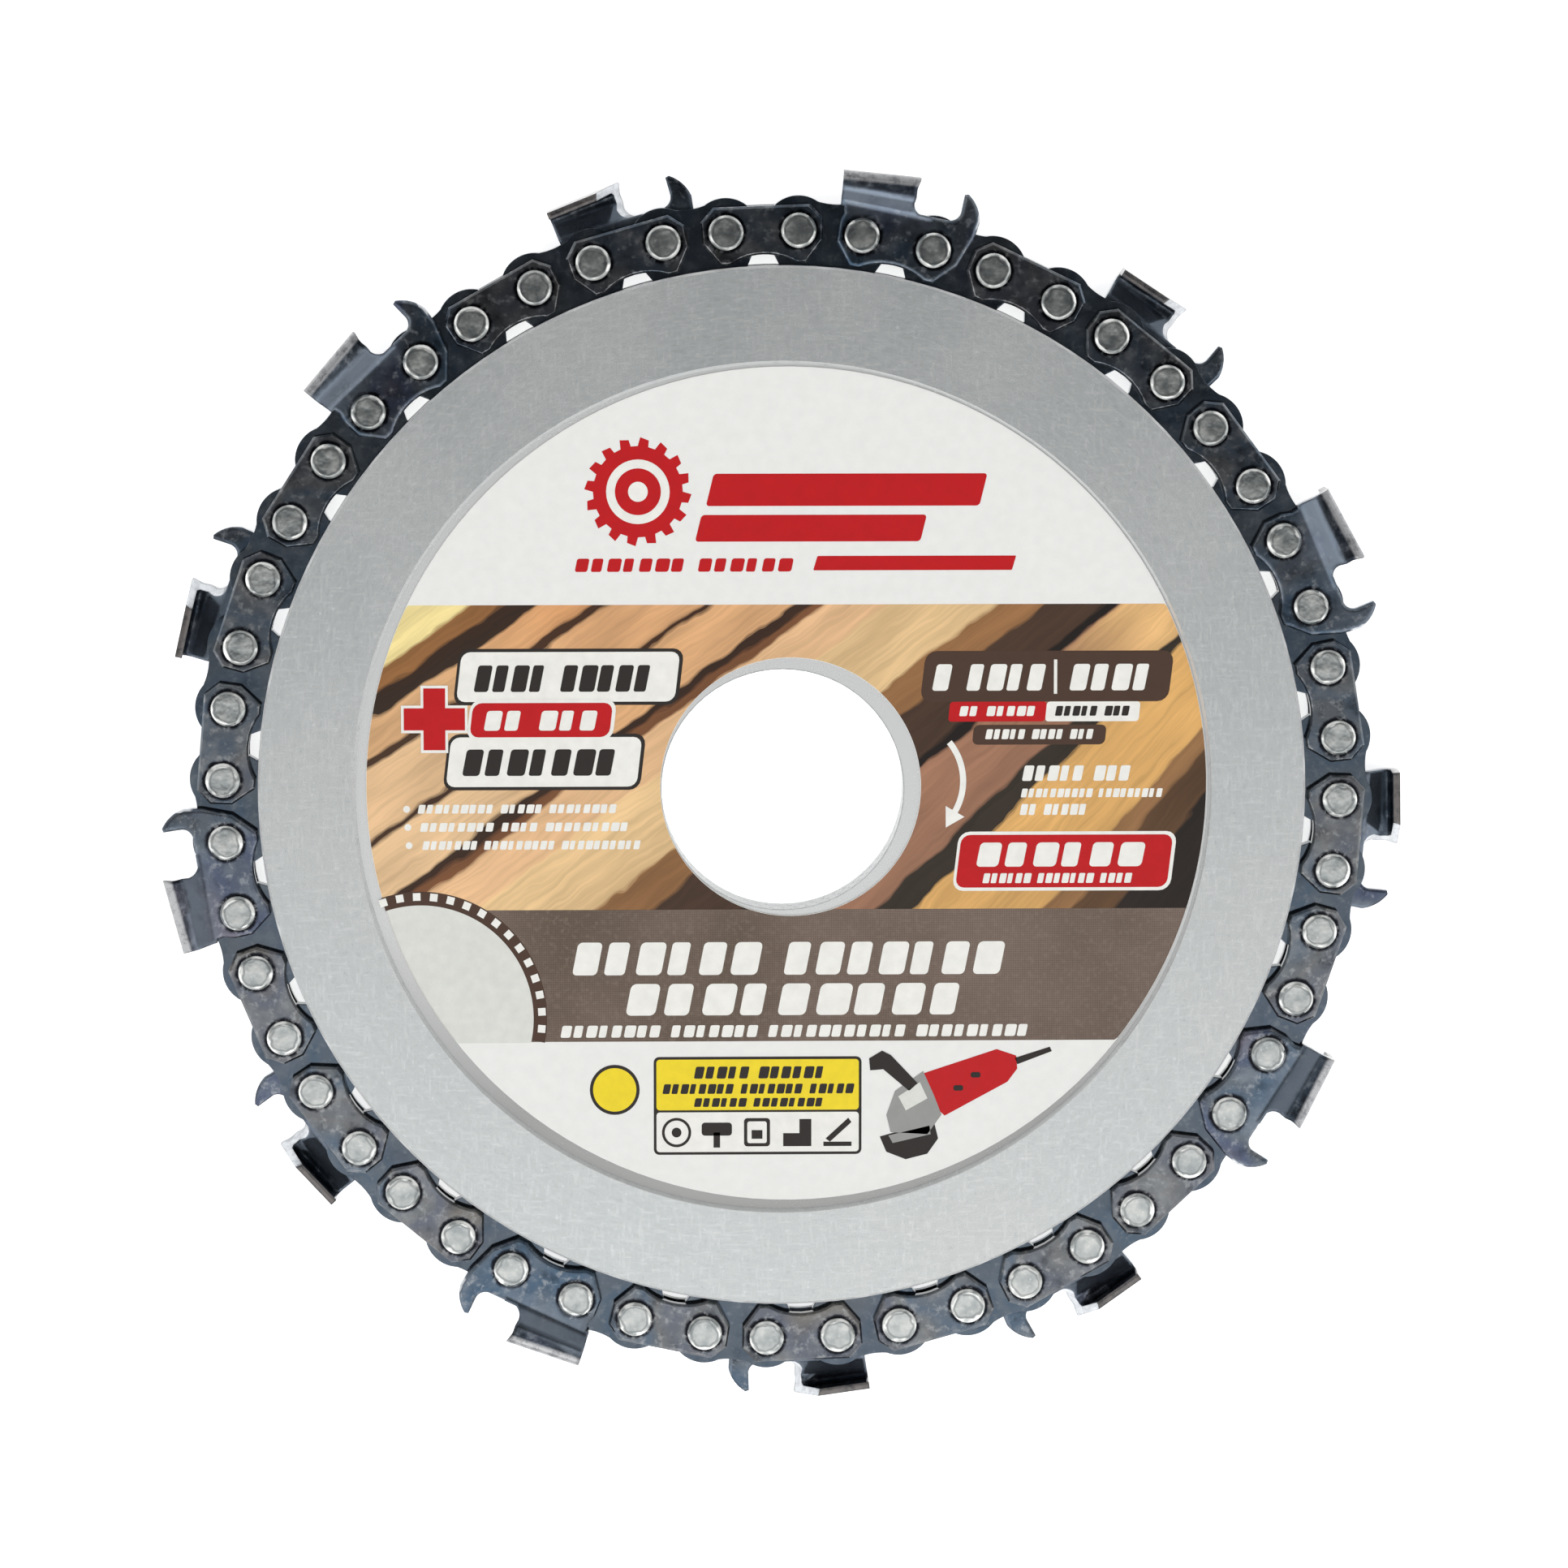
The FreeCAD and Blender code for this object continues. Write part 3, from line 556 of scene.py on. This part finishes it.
# Boards of the printed picture, each with the direction of its lower edge, in degrees, seen from BOARDS_MEET
BOARDS = [
    (18.0, tone(238, 218, 150)),
    (20.8, tone(142, 98, 58)),
    (21.6, tone(54, 37, 26)),
    (22.5, tone(212, 154, 104)),
    (24.0, tone(72, 47, 31)),
    (24.4, tone(226, 172, 122)),
    (27.15, tone(70, 45, 30)),
    (27.45, tone(226, 174, 124)),
    (29.8, tone(58, 39, 27)),
    (30.25, tone(122, 80, 52)),
    (30.65, tone(228, 184, 138)),
    (32.6, tone(230, 194, 142)),
    (36.1, tone(148, 106, 68)),
    (37.6, tone(76, 56, 43)),
    (39.9, tone(30, 23, 19)),
    (40.4, tone(154, 112, 88)),
    (43.8, tone(54, 46, 38)),
    (45.0, tone(230, 178, 108)),
    (49.4, tone(152, 112, 74)),
    (50.4, tone(96, 70, 48)),
    (52.0, tone(42, 34, 29)),
]
BOARDS_MEET = (95.0, 72.0)
BOARDS_LAST = 56.0
BOARD_EDGE = 0.06

# Beyond TWIST_FROM, boards below TWIST_LIMIT turn steadily, the lowest ones most
TWIST = 0.0065
TWIST_LIMIT = 38.0
TWIST_FROM = 100.0

# Stains, figure and fibres: scale along and across the boards, layer of noise, detail, darkest, lightest
WOOD_MARKS = [
    (0.045, 0.2, 9.0, 2.0, 0.82, 1.10),
    (0.06, 0.8, 5.0, 3.0, 0.84, 1.08),
    (0.07, 4.2, 1.0, 4.0, 0.85, 1.07),
]


def plank_wood():
    """A picture of sawn boards, fanned out from a far point on the upper right, with dark gaps between."""
    shader = Shader("label_planks")
    x, y, _ = shader.parts(shader.place)
    x = shader.minus(BOARDS_MEET[0] + LABEL_MIDDLE.x, shader.over(x, MM))
    y = shader.minus(BOARDS_MEET[1] + LABEL_MIDDLE.y, shader.over(y, MM))
    along = shader.length(x, y)
    turn = shader.math("DEGREES", shader.math("ARCTAN2", y, x))
    left = shader.larger(shader.minus(TWIST_LIMIT, turn), 0.0)
    twist = shader.times(shader.times(shader.minus(along, TWIST_FROM), TWIST), left)
    level = shader.minus(turn, twist)
    ragged = shader.noise(shader.vector(shader.times(along, 0.22), level, 2.0), 1.0, 2.0, 0.5)
    level = shader.plus(level, shader.fit(ragged, 0.3, 0.7, -0.16, 0.16))

    first = BOARDS[0][0]
    stops = [((start - first) / (BOARDS_LAST - first), color) for start, color in BOARDS]
    color = None
    for number, shift in enumerate((-BOARD_EDGE, 0.0, BOARD_EDGE)):
        spot = shader.fit(shader.plus(level, shift), first, BOARDS_LAST)
        boards = shader.ramp(spot, stops, "CONSTANT")
        color = shader.mix(1 / (number + 1), color, boards) if color else boards

    sunlit = shader.times(shader.band(level, 40.6, 44.3, 0.2), shader.fit(along, 95.0, 84.0))
    color = shader.mix(sunlit, color, tone(228, 182, 122))
    bleached = shader.times(shader.band(level, 22.4, 29.8, 0.6), shader.fit(along, 128.0, 142.0, 0.0, 0.7))
    color = shader.mix(bleached, color, shader.scaled(color, 1.12, 1.42, 1.72))
    for stretch, spread, layer, detail, darkest, lightest in WOOD_MARKS:
        where = shader.vector(shader.times(along, stretch), shader.times(level, spread), layer)
        mark = shader.noise(where, 1.0, detail, 0.6)
        color = shader.scaled_by(color, shader.fit(mark, 0.32, 0.68, darkest, lightest))
    return shader.finish(base_color=color, roughness=0.3, specular=0.25)


SCREEN_PITCH = 0.42 * MM


def halftone_band():
    """Taupe print with a fine slanted dot screen."""
    shader = Shader("label_band")
    x, y, _ = shader.parts(shader.place)
    rising = shader.math("SINE", shader.times(shader.plus(x, y), 2 * math.pi / SCREEN_PITCH))
    falling = shader.math("SINE", shader.times(shader.minus(x, y), 2 * math.pi / SCREEN_PITCH))
    screen = shader.times(rising, falling)
    wide = shader.noise(shader.place, 70, 4.0)
    weave = shader.noise(shader.place, 2600, 2.0)
    color = shader.mix(shader.fit(wide, 0.35, 0.65), (0.125, 0.090, 0.066), (0.190, 0.140, 0.112))
    color = shader.mix(shader.fit(screen, 0.0, 0.6, 0.0, 0.6), color, (0.075, 0.052, 0.040))
    color = shader.mix(shader.fit(weave, 0.5, 0.75, 0.0, 0.4), color, (0.240, 0.185, 0.140))
    return shader.finish(base_color=color, roughness=0.36, specular=0.25)


INKS = {
    "white": tone(238, 237, 230),
    "grey": tone(218, 219, 212),
    "red": tone(188, 8, 20),
    "dark": tone(42, 37, 34),
    "brown": tone(74, 54, 42),
    "yellow": tone(240, 214, 44),
    "silver": tone(150, 150, 147),
}


class Art:
    """Collects flat outlines by ink and layer, then makes one mesh for each ink."""

    def __init__(self):
        self.shapes = {}

    def add(self, ink, layer, points):
        self.shapes.setdefault(ink, []).append((layer, points))

    def bar(self, ink, layer, left, right, low, high, corner=0.0, slant=0.0):
        """A rectangle with rounded corners, leaning to the right by slant for each unit of height."""
        points = []
        corner = min(corner, (right - left) / 2, (high - low) / 2)
        turns = [(right, low, -90), (right, high, 0), (left, high, 90), (left, low, 180)]
        for x, y, start in turns:
            inward_x = -corner if x == right else corner
            inward_y = corner if y == low else -corner
            for part in range(CORNER_STEPS + 1 if corner else 1):
                angle = math.radians(start + 90 * part / CORNER_STEPS)
                px = x + inward_x + corner * math.cos(angle)
                py = y + inward_y + corner * math.sin(angle)
                points.append((px + slant * (py - low), py))
        self.add(ink, layer, points)

    def row(self, ink, layer, left, right, low, high, groups, slant=0.2):
        """A row of plain blocks in groups of so many, spread evenly from left to right."""
        widths = (0.78, 0.66, 0.82, 0.58, 0.74, 0.86, 0.70)
        gap = 0.7
        step = (right - left) / (sum(groups) + gap * (len(groups) - 1))
        start = left
        number = 0
        for count in groups:
            for _ in range(count):
                width = step * widths[number % len(widths)]
                self.bar(ink, layer, start, start + width, low, high, width * 0.18, slant)
                start += step
                number += 1
            start += gap * step

    def disc(self, ink, layer, x, y, radius, sides=40):
        turns = [2 * math.pi * number / sides for number in range(sides)]
        self.add(ink, layer, [(x + radius * math.cos(a), y + radius * math.sin(a)) for a in turns])

    def ring(self, ink, layer, x, y, outer, inner, start=0, end=360, steps=64):
        """A ring or an arc of one, as a chain of short quads."""
        for number in range(steps):
            first = math.radians(start + (end - start) * number / steps)
            second = math.radians(start + (end - start) * (number + 1) / steps)
            corners = [(inner, first), (outer, first), (outer, second), (inner, second)]
            self.add(ink, layer, [(x + r * math.cos(a), y + r * math.sin(a)) for r, a in corners])

    def build(self):
        for ink, shapes in self.shapes.items():
            material = printed(f"ink_{ink}", INKS[ink])
            vertices = []
            faces = []
            for layer, points in shapes:
                faces.append(range(len(vertices), len(vertices) + len(points)))
                vertices += [label_point(x, y * PRINT_STRETCH + PRINT_LIFT, layer) for x, y in points]
            lay_on_label(f"label_print_{ink}", vertices, faces, material)


def label_point(x, y, layer):
    top = label_high.z / MM + layer * LAYER_STEP
    return Vector((LABEL_MIDDLE.x + x, LABEL_MIDDLE.y + y, top)) * MM


def lay_on_label(name, vertices, faces, material):
    piece = add_mesh(name, vertices, faces, material)
    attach(piece, "disc")


def half_chord(radius, offset):
    return math.sqrt(max(0.0, radius * radius - offset * offset))


def field(name, low, high, material):
    """A level band of print from low to high, cut to the label's edge and hole."""
    edge = LABEL_RADIUS - FIELD_MARGIN
    hole = HOLE_RADIUS + FIELD_MARGIN
    edge_steps, hole_steps = 240, 120
    columns = {edge * math.cos(math.pi * n / edge_steps) for n in range(edge_steps + 1)}
    columns |= {HOLE_MIDDLE.x + hole * math.cos(math.pi * n / hole_steps) for n in range(hole_steps + 1)}
    columns = sorted(x for x in columns if abs(x) <= edge)
    vertices = []
    faces = []
    for upper in (True, False):
        start = len(vertices)
        for x in columns:
            rim = half_chord(edge, x)
            opening = half_chord(hole, x - HOLE_MIDDLE.x)
            if upper:
                bottom, top = HOLE_MIDDLE.y + opening, rim
            else:
                bottom, top = -rim, HOLE_MIDDLE.y - opening
            bottom = min(max(bottom, low), high)
            top = min(max(top, low), high)
            top = max(top, bottom)
            vertices += [label_point(x, bottom, FIELD_LAYER), label_point(x, top, FIELD_LAYER)]
        for number in range(len(columns) - 1):
            a = start + 2 * number
            if vertices[a + 1].y - vertices[a].y > 1e-9 or vertices[a + 3].y - vertices[a + 2].y > 1e-9:
                faces.append((a, a + 2, a + 3, a + 1))
    lay_on_label(name, vertices, faces, material)


def label_edge(level):
    """How far left the print may reach at a height in the drawing."""
    return -half_chord(LABEL_RADIUS - ART_MARGIN, level * PRINT_STRETCH + PRINT_LIFT)


def quarter_blade(art):
    """A plain pale quarter of a toothed wheel at the label's left edge."""
    x, y, radius = -33.7, -21.4, 10.35
    arc_steps, edge_steps = 64, 32
    points = []
    for number in range(arc_steps + 1):
        angle = math.radians(-12.6 + 140 * number / arc_steps)
        level = y + radius * math.sin(angle)
        points.append((max(x + radius * math.cos(angle), label_edge(level)), level))
    foot, top = points[0][1], points[-1][1]
    for number in range(edge_steps + 1):
        level = top + (foot - top) * number / edge_steps
        points.append((label_edge(level), level))
    art.add("grey", 2, points)
    art.ring("brown", 1, x, y, radius + 1.25, radius, -11.2, 108)
    for number in range(15):
        tooth(art, x, y, radius + 0.78, math.radians(-5 + number * 8.06))


def tooth(art, x, y, radius, angle):
    half = 0.35
    out = Vector((math.cos(angle), math.sin(angle)))
    side = Vector((-out.y, out.x))
    middle = Vector((x, y)) + out * radius
    corners = [(-half, -half), (half, -half), (half, half), (-half, half)]
    points = [middle + side * a + out * b for a, b in corners]
    art.add("white", 3, [tuple(p) for p in points])


def name_plate(art):
    """Plain decoration in place of a name: a toothed wheel, two slanted stripes and two thin rules."""
    x, y, teeth = -13.6, 26.3, 16
    wheel = []
    for number in range(teeth):
        for part, reach in ((0.0, 4.1), (0.12, 4.9), (0.55, 4.7), (0.6, 4.1)):
            angle = -2 * math.pi * (number + part) / teeth
            wheel.append((x + reach * math.cos(angle), y + reach * math.sin(angle)))
    art.add("red", 1, wheel)
    art.disc("white", 2, x, y, 2.9)
    art.disc("red", 3, x, y, 2.1)
    art.disc("white", 4, x, y, 0.9)
    art.bar("red", 1, -7.4, 17.6, 25.0, 27.9, 0.3, 0.25)
    art.bar("red", 1, -8.4, 12.2, 21.8, 24.2, 0.3, 0.25)
    art.row("red", 1, -19.4, 0.6, 19.1, 20.3, [7, 6])
    art.bar("red", 1, 2.4, 20.6, 19.2, 20.5, 0.1, 0.3)


def tag(art, layer, left, right, low, high, fill, outline):
    art.bar(outline, layer, left, right, low, high, 1.0, 0.12)
    art.bar(fill, layer + 1, left + 0.3, right - 0.3, low + 0.3, high - 0.3, 0.8, 0.12)


def cross(art, ink, layer, x, y, reach, half):
    corners = []
    for turn in range(4):
        angle = math.radians(90 * turn)
        for out, side in ((half, half), (reach, half), (reach, -half)):
            corners.append((x + out * math.cos(angle) + side * math.sin(angle),
                            y + out * math.sin(angle) - side * math.cos(angle)))
    art.add(ink, layer, corners)


def left_tags(art):
    tag(art, 1, -30.6, -10.0, 7.1, 12.2, "white", "dark")
    art.row("dark", 3, -28.7, -12.4, 8.3, 10.7, [4, 5])
    tag(art, 1, -31.6, -13.5, -0.6, 4.5, "white", "dark")
    art.row("dark", 3, -29.8, -15.6, 0.7, 3.1, [7])
    tag(art, 4, -29.4, -16.0, 3.9, 7.6, "red", "white")
    art.row("white", 6, -27.8, -17.2, 4.8, 6.6, [2, 3])
    cross(art, "white", 4, -32.3, 5.85, 3.05, 1.25)
    cross(art, "red", 5, -32.3, 5.85, 2.8, 1.0)
    for line, groups in enumerate([[9, 5, 8], [8, 4, 9], [7, 9, 10]]):
        level = -2.7 - 1.65 * line
        art.disc("white", 1, -34.9 + 0.1 * line, level + 0.4, 0.32, 12)
        art.row("white", 1, -33.9 + 0.2 * line, -15.6 + 1.1 * line, level, level + 0.8, groups)


def right_tags(art):
    art.bar("brown", 1, 12.2, 35.0, 7.3, 11.9, 1.0, 0.12)
    art.row("white", 2, 13.3, 23.8, 8.3, 10.7, [1, 4])
    art.bar("white", 2, 24.5, 24.8, 8.0, 11.1)
    art.row("white", 2, 25.9, 33.6, 8.3, 10.7, [4])
    art.bar("red", 2, 14.8, 23.7, 5.5, 7.3, 0.3, 0.1)
    art.row("white", 3, 15.8, 22.9, 6.0, 6.9, [2, 5])
    art.bar("white", 2, 23.7, 32.3, 5.5, 7.3, 0.3, 0.1)
    art.row("dark", 3, 24.6, 31.5, 6.0, 6.9, [5, 3])
    art.bar("brown", 1, 17.0, 29.2, 3.4, 5.2, 0.5, 0.1)
    art.row("white", 2, 18.2, 28.2, 3.9, 4.8, [5, 4, 3])
    art.row("white", 1, 21.6, 31.6, 0.1, 1.5, [5, 3])
    art.row("white", 1, 21.5, 34.6, -1.4, -0.6, [10, 9])
    art.row("white", 1, 21.4, 27.6, -3.0, -2.0, [2, 5])
    tag(art, 1, 15.2, 35.3, -9.9, -4.5, "red", "white")
    art.row("white", 3, 17.4, 33.0, -7.7, -5.5, [6])
    art.row("white", 3, 18.0, 31.8, -9.2, -8.3, [6, 7, 4])


def turning_arrow(art):
    """A curved arrow that points the way the disc turns."""
    x, y, radius, half = 10.7, 0.1, 5.5, 0.28
    start, end = 40, -30
    art.ring("white", 2, x, y, radius + half, radius - half, start, end, steps=24)
    angle = math.radians(end)
    tip = Vector((x + radius * math.cos(angle), y + radius * math.sin(angle)))
    ahead = Vector((math.sin(angle), -math.cos(angle)))
    side = Vector((math.cos(angle), math.sin(angle)))
    points = [tip + side * 1.0, tip - side * 1.0, tip + ahead * 1.7]
    art.add("white", 2, [tuple(p) for p in points])


def band_rows(art):
    art.row("white", 1, -19.8, 20.0, -17.5, -14.5, [6, 7])
    art.row("white", 1, -14.9, 16.6, -21.2, -18.3, [9])
    art.row("white", 1, -20.9, 22.4, -23.2, -22.1, [8, 7, 11, 9])


def lower_panel(art):
    """A plain panel with a yellow heading and five simple tool outlines."""
    art.disc("dark", 1, -15.9, -28.0, 2.3)
    art.disc("yellow", 2, -15.9, -28.0, 2.0)
    art.bar("dark", 1, -12.3, 6.9, -34.0, -25.0, 0.5)
    art.bar("white", 2, -12.05, 6.65, -33.75, -30.1, 0.3)
    art.bar("yellow", 2, -12.05, 6.65, -29.9, -25.25, 0.3)
    art.row("dark", 3, -8.6, 3.6, -27.0, -25.9, [5, 6])
    art.row("dark", 3, -11.5, 6.2, -28.4, -27.5, [8, 7, 5])
    art.row("dark", 3, -8.6, 3.4, -29.6, -28.8, [6, 8])
    for number in range(5):
        tool_outline(art, number, -10.2 + number * 3.72, -31.95)


def tool_outline(art, number, x, y):
    if number == 0:
        art.ring("dark", 3, x, y, 1.35, 1.1, steps=40)
        art.disc("dark", 3, x, y, 0.45)
    elif number == 1:
        art.bar("dark", 3, x - 1.4, x + 1.4, y - 0.3, y + 0.9, 0.3)
        art.bar("dark", 3, x - 0.3, x + 0.3, y - 1.4, y)
    elif number == 2:
        art.bar("dark", 3, x - 1.2, x + 1.2, y - 1.3, y + 1.3, 0.3)
        art.bar("white", 4, x - 0.9, x + 0.9, y - 1.0, y + 1.0, 0.2)
        art.bar("dark", 5, x - 0.5, x + 0.5, y - 0.6, y + 0.2)
    elif number == 3:
        art.add("dark", 3, [(x - 1.3, y - 1.3), (x + 1.3, y - 1.3), (x + 1.3, y + 1.2), (x + 0.2, y + 1.2),
                            (x + 0.2, y - 0.1), (x - 1.3, y - 0.1)])
    else:
        art.bar("dark", 3, x - 1.3, x + 1.3, y - 1.3, y - 0.9)
        art.add("dark", 3, [(x - 1.1, y - 0.6), (x - 0.7, y - 0.9), (x + 1.3, y + 0.9), (x + 1.0, y + 1.3)])


def grinder_picture(art):
    """A small plain drawing of an angle grinder."""
    art.add("red", 2, [(12.6, -26.6), (19.4, -24.4), (21.2, -25.0), (21.3, -26.2), (20.4, -27.4),
                       (14.6, -30.5), (13.4, -29.4)])
    art.add("silver", 3, [(10.0, -28.2), (12.6, -26.4), (13.6, -28.6), (14.3, -30.4), (13.0, -32.2),
                          (9.6, -32.0), (9.2, -30.4)])
    art.add("grey", 4, [(10.3, -28.7), (12.3, -27.4), (13.0, -28.9), (11.0, -30.0)])
    art.add("dark", 4, [(7.6, -25.2), (8.8, -24.5), (9.6, -24.9), (12.1, -27.5), (11.3, -28.2), (8.9, -26.2),
                        (7.7, -26.3)])
    art.add("dark", 2, [(21.1, -25.2), (24.3, -24.2), (24.5, -24.6), (21.3, -25.8)])
    art.add("dark", 2, [(8.6, -32.4), (13.6, -31.0), (14.0, -32.6), (13.0, -34.0), (11.0, -34.5),
                        (9.2, -33.8)])
    art.add("silver", 3, [(9.4, -32.3), (13.2, -31.4), (13.3, -32.2), (9.8, -33.0)])
    art.bar("dark", 4, 17.0, 17.9, -27.0, -26.5, 0.2)
    art.bar("dark", 4, 15.4, 16.3, -28.2, -27.7, 0.2)


def dress_label():
    cover(frame["nodes"]["label"], printed("label_film_white", (0.82, 0.82, 0.79), 0.36, 0.02))
    field("label_print_planks", PLANK_FOOT, PLANK_TOP, plank_wood())
    field("label_print_band", BAND_FOOT, PLANK_FOOT, halftone_band())
    art = Art()
    quarter_blade(art)
    name_plate(art)
    left_tags(art)
    right_tags(art)
    turning_arrow(art)
    band_rows(art)
    lower_panel(art)
    grinder_picture(art)
    art.build()


# Surroundings

FLOOR_REACH = 1.5
FLOOR_GLOW = 0.72

# The tent's brightness, and between which directions each side of it fades in
CARD_LEVEL = 0.09
SIDE_LEVEL = 0.72
SIDE_SPAN = (0.22, 0.60)
BACK_LEVEL = 0.70
BACK_SPAN = (0.35, 0.70)
FRONT_LEVEL = 1.62
FRONT_SPAN = (-0.07, -0.17)
LOW_FRONT_SPAN = (-0.35, -0.75)
LOW_FRONT_SHARE = 0.55


def add_floor():
    level = cad_box[0][2] - 0.02 * MM
    corners = [(x * FLOOR_REACH, y * FLOOR_REACH, level) for x, y in ((-1, -1), (1, -1), (1, 1), (-1, 1))]
    shader = Shader("floor_white")
    paper = shader.noise(shader.place, 400, 3.0)
    color = shader.ramp(paper, [(0.3, (0.90, 0.90, 0.90)), (0.7, (0.93, 0.93, 0.93))])
    shader.bump(paper, 0.02 * MM, 0.2)
    shader.surface.inputs["Emission Color"].default_value = (1, 1, 1, 1)
    shader.surface.inputs["Emission Strength"].default_value = FLOOR_GLOW
    floor = add_mesh("floor", corners, [(0, 1, 2, 3)], shader.finish(base_color=color, roughness=0.8))


def add_world():
    """A white tent with a dark card just overhead: its lower side, towards -Y, is the bright one."""
    world = bpy.data.worlds.new("tent")
    bpy.context.scene.world = world
    world.use_nodes = True
    nodes = NodeTree(world.node_tree)
    x, y, _ = nodes.parts(nodes.coordinates.outputs["Generated"])
    side = nodes.fit(nodes.math("ABSOLUTE", x), *SIDE_SPAN, 0.0, SIDE_LEVEL, True)
    back = nodes.fit(y, *BACK_SPAN, 0.0, BACK_LEVEL, True)
    front = nodes.fit(y, *FRONT_SPAN, 0.0, FRONT_LEVEL, True)
    front = nodes.times(front, nodes.fit(y, *LOW_FRONT_SPAN, 1.0, LOW_FRONT_SHARE, True))
    level = nodes.plus(nodes.larger(nodes.larger(side, back), front), CARD_LEVEL)
    background = world.node_tree.nodes["Background"]
    nodes.put(background.inputs["Color"], nodes.vector(level, level, nodes.times(level, 1.01)))
    background.inputs["Strength"].default_value = 1.0


def add_softbox(name, position, size, power):
    data = bpy.data.lights.new(name, "AREA")
    data.shape = "SQUARE"
    data.size = size
    data.energy = power
    lamp = bpy.data.objects.new(name, data)
    lamp.location = position
    lamp.rotation_euler = (-Vector(position)).to_track_quat("-Z", "Y").to_euler()
    bpy.context.scene.collection.objects.link(lamp)


add_camera()
add_floor()
add_world()
add_softbox("softbox_low", (0.1, -1.1, 1.1), 0.8, 3.0)
bpy.context.scene.view_settings.view_transform = "Standard"
dress_metal()
dress_label()
